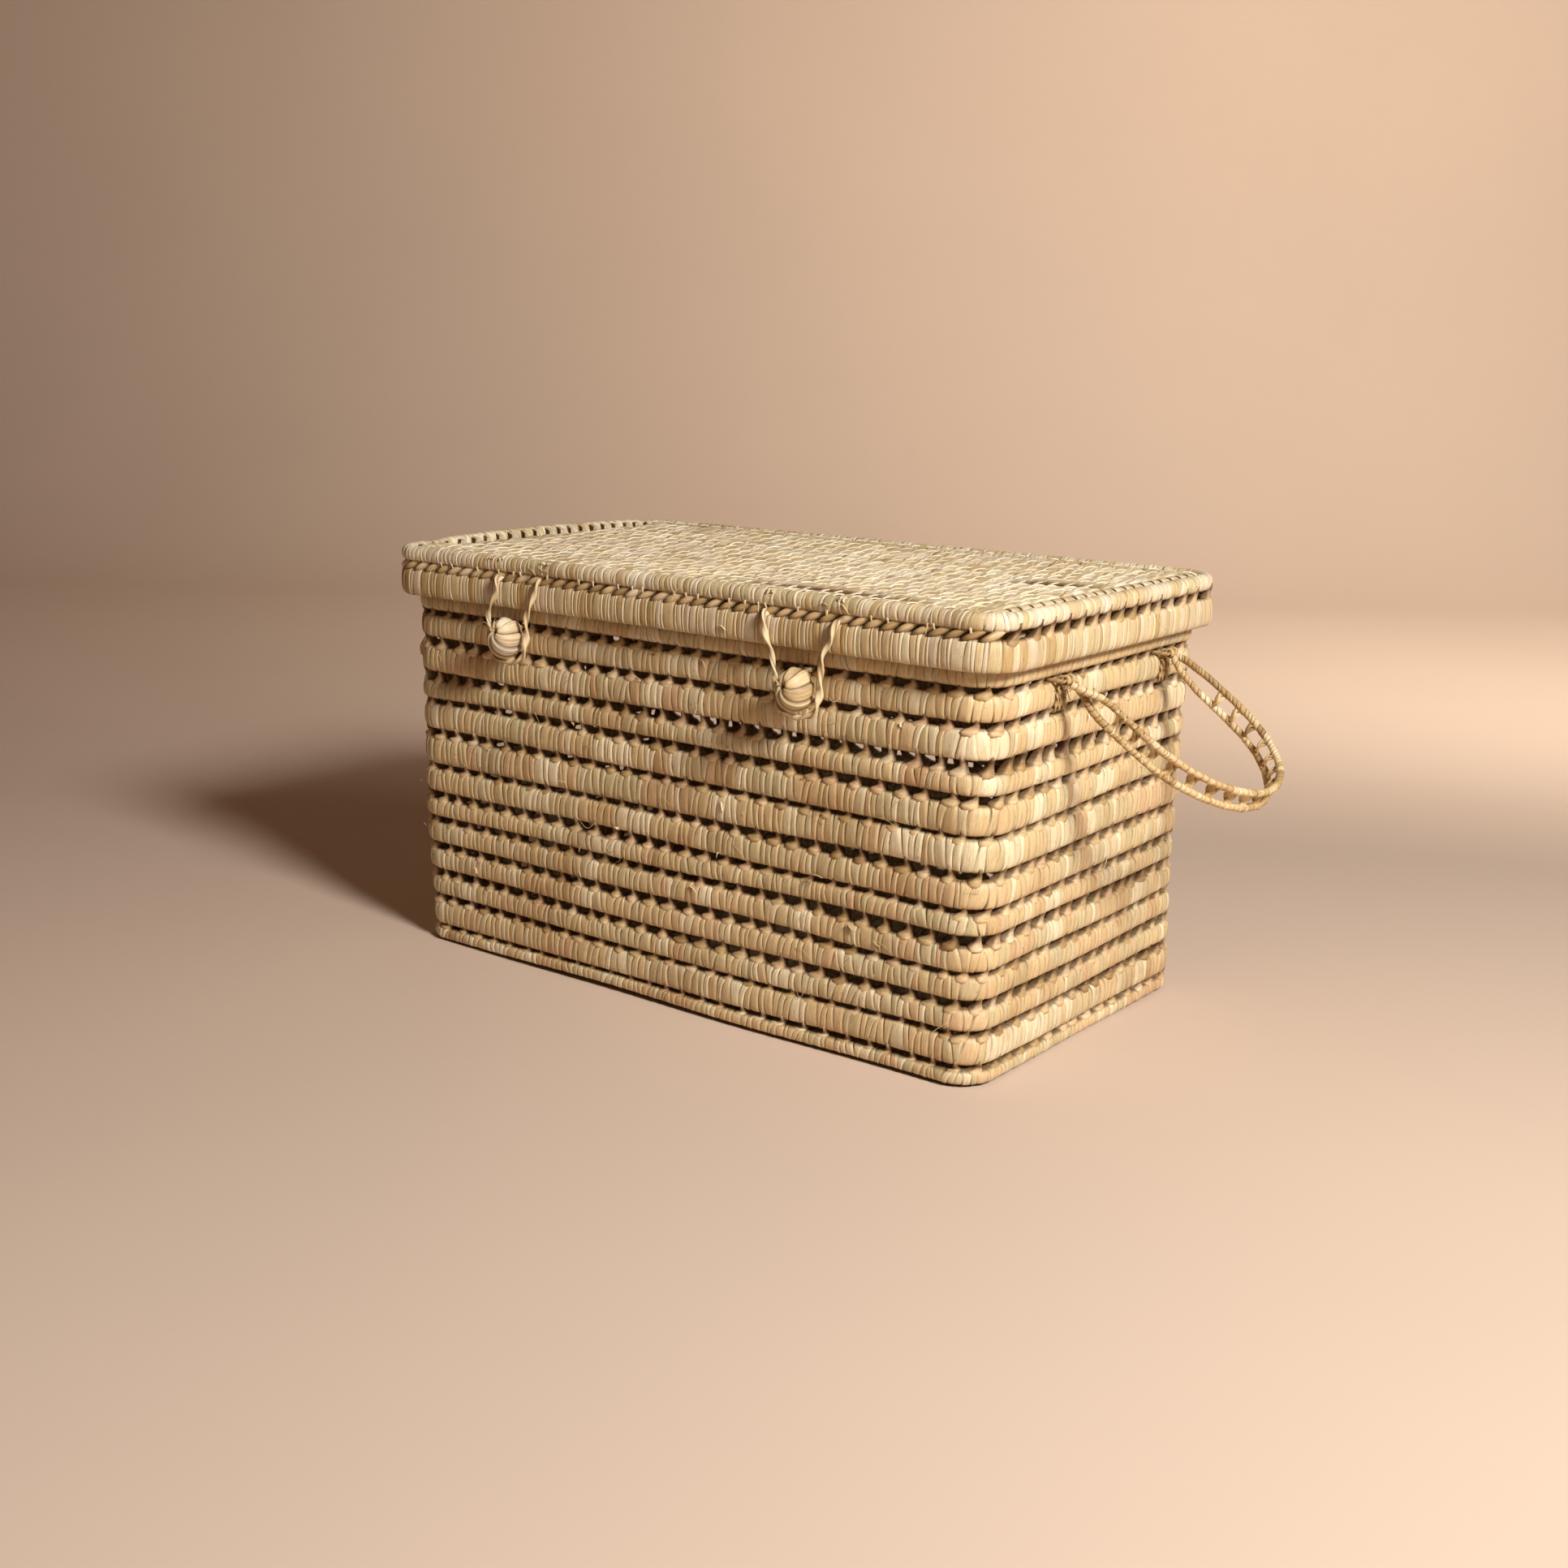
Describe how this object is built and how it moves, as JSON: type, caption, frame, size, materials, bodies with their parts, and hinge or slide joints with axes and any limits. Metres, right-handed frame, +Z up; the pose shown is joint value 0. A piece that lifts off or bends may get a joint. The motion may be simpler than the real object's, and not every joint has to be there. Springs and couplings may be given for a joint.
{
  "type": "lidded storage basket",
  "caption": "Rectangular coiled palm-leaf trunk basket with a tied-on overhanging lid, ball-and-loop closures and plaited loop handles on the ends.",
  "frame": {"origin": "centre of the foot, on the surface it stands on", "axes": "+Z up, +X along the basket, -Y the front with the toggles"},
  "size_m": [0.6948, 0.3086, 0.285],
  "materials": {
    "wall_leaf": "dry palm leaf wrapped round fibre, matte with a faint sheen along the strips",
    "stitch_leaf": "narrow folded palm leaf, matte",
    "lid_leaf": "dry palm leaf, greyer and a little fuzzy from wear",
    "toggle_leaf": "smooth wide palm leaf, soft sheen",
    "cord_leaf": "twisted and plaited palm leaf, matte"
  },
  "bodies": {
    "basket": {"base_coil": "wall_leaf", "base_panel": "wall_leaf", "handle_left_lashing_back": "cord_leaf", "handle_left_lashing_front": "cord_leaf", "handle_right_lashing_back": "cord_leaf", "handle_right_lashing_front": "cord_leaf", "hinge_tie_left_basket": "cord_leaf", "hinge_tie_right_basket": "cord_leaf", "rim_coil": "wall_leaf", "stitch_row_01": "stitch_leaf", "stitch_row_02": "stitch_leaf", "stitch_row_03": "stitch_leaf", "stitch_row_04": "stitch_leaf", "stitch_row_05": "stitch_leaf", "stitch_row_06": "stitch_leaf", "stitch_row_07": "stitch_leaf", "stitch_row_08": "stitch_leaf", "stitch_row_09": "stitch_leaf", "stitch_row_10": "stitch_leaf", "stitch_row_11": "stitch_leaf", "stitch_row_12": "stitch_leaf", "stitch_row_13": "stitch_leaf", "toggle_left_stem": "cord_leaf", "toggle_right_stem": "cord_leaf", "wall_coil_01": "wall_leaf", "wall_coil_02": "wall_leaf", "wall_coil_03": "wall_leaf", "wall_coil_04": "wall_leaf", "wall_coil_05": "wall_leaf", "wall_coil_06": "wall_leaf", "wall_coil_07": "wall_leaf", "wall_coil_08": "wall_leaf", "wall_coil_09": "wall_leaf", "wall_coil_10": "wall_leaf", "wall_coil_11": "wall_leaf", "wall_coil_12": "wall_leaf"},
    "lid": {"hinge_tie_left_lid": "cord_leaf", "hinge_tie_right_lid": "cord_leaf", "lid_edge_coil": "lid_leaf", "lid_panel": "lid_leaf", "lid_rim_coil": "lid_leaf", "lid_ring_coil": "lid_leaf", "lid_stitch_row": "stitch_leaf"},
    "toggle_left": {"toggle_left_ball": "toggle_leaf"},
    "closing_loop_left": {"closing_loop_left": "cord_leaf"},
    "handle_left": {"handle_left_upper_strand": "cord_leaf", "handle_left_lower_strand": "cord_leaf", "handle_left_lacing": "cord_leaf"},
    "toggle_right": {"toggle_right_ball": "toggle_leaf"},
    "closing_loop_right": {"closing_loop_right": "cord_leaf"},
    "handle_right": {"handle_right_upper_strand": "cord_leaf", "handle_right_lower_strand": "cord_leaf", "handle_right_lacing": "cord_leaf"}
  },
  "joints": [
    {"name": "lid_hinge", "type": "hinge", "parent": "basket", "child": "lid", "pos_m": [0, 0.1445, 0.249], "axis": [-1, 0, 0], "range_deg": [0, 190]},
    {"name": "closing_loop_left_swing", "type": "hinge", "parent": "lid", "child": "closing_loop_left", "pos_m": [-0.12, -0.1449, 0.272], "axis": [-1, 0, 0], "range_deg": [0, 90], "deforming": ["closing_loop_left"]},
    {"name": "closing_loop_right_swing", "type": "hinge", "parent": "lid", "child": "closing_loop_right", "pos_m": [0.112, -0.1449, 0.272], "axis": [-1, 0, 0], "range_deg": [0, 90], "deforming": ["closing_loop_right"]},
    {"name": "toggle_left_swing", "type": "hinge", "parent": "basket", "child": "toggle_left", "pos_m": [-0.128, -0.1346, 0.2385], "axis": [-1, 0, 0], "range_deg": [0, 28]},
    {"name": "toggle_right_swing", "type": "hinge", "parent": "basket", "child": "toggle_right", "pos_m": [0.112, -0.1346, 0.2385], "axis": [-1, 0, 0], "range_deg": [0, 28]},
    {"name": "handle_right_swing", "type": "hinge", "parent": "basket", "child": "handle_right", "pos_m": [0.245, 0.0084, 0.2385], "axis": [0, 1, 0], "range_deg": [-75, 45]},
    {"name": "handle_left_swing", "type": "hinge", "parent": "basket", "child": "handle_left", "pos_m": [-0.245, 0.0084, 0.2385], "axis": [0, -1, 0], "range_deg": [-75, 45]}
  ]
}
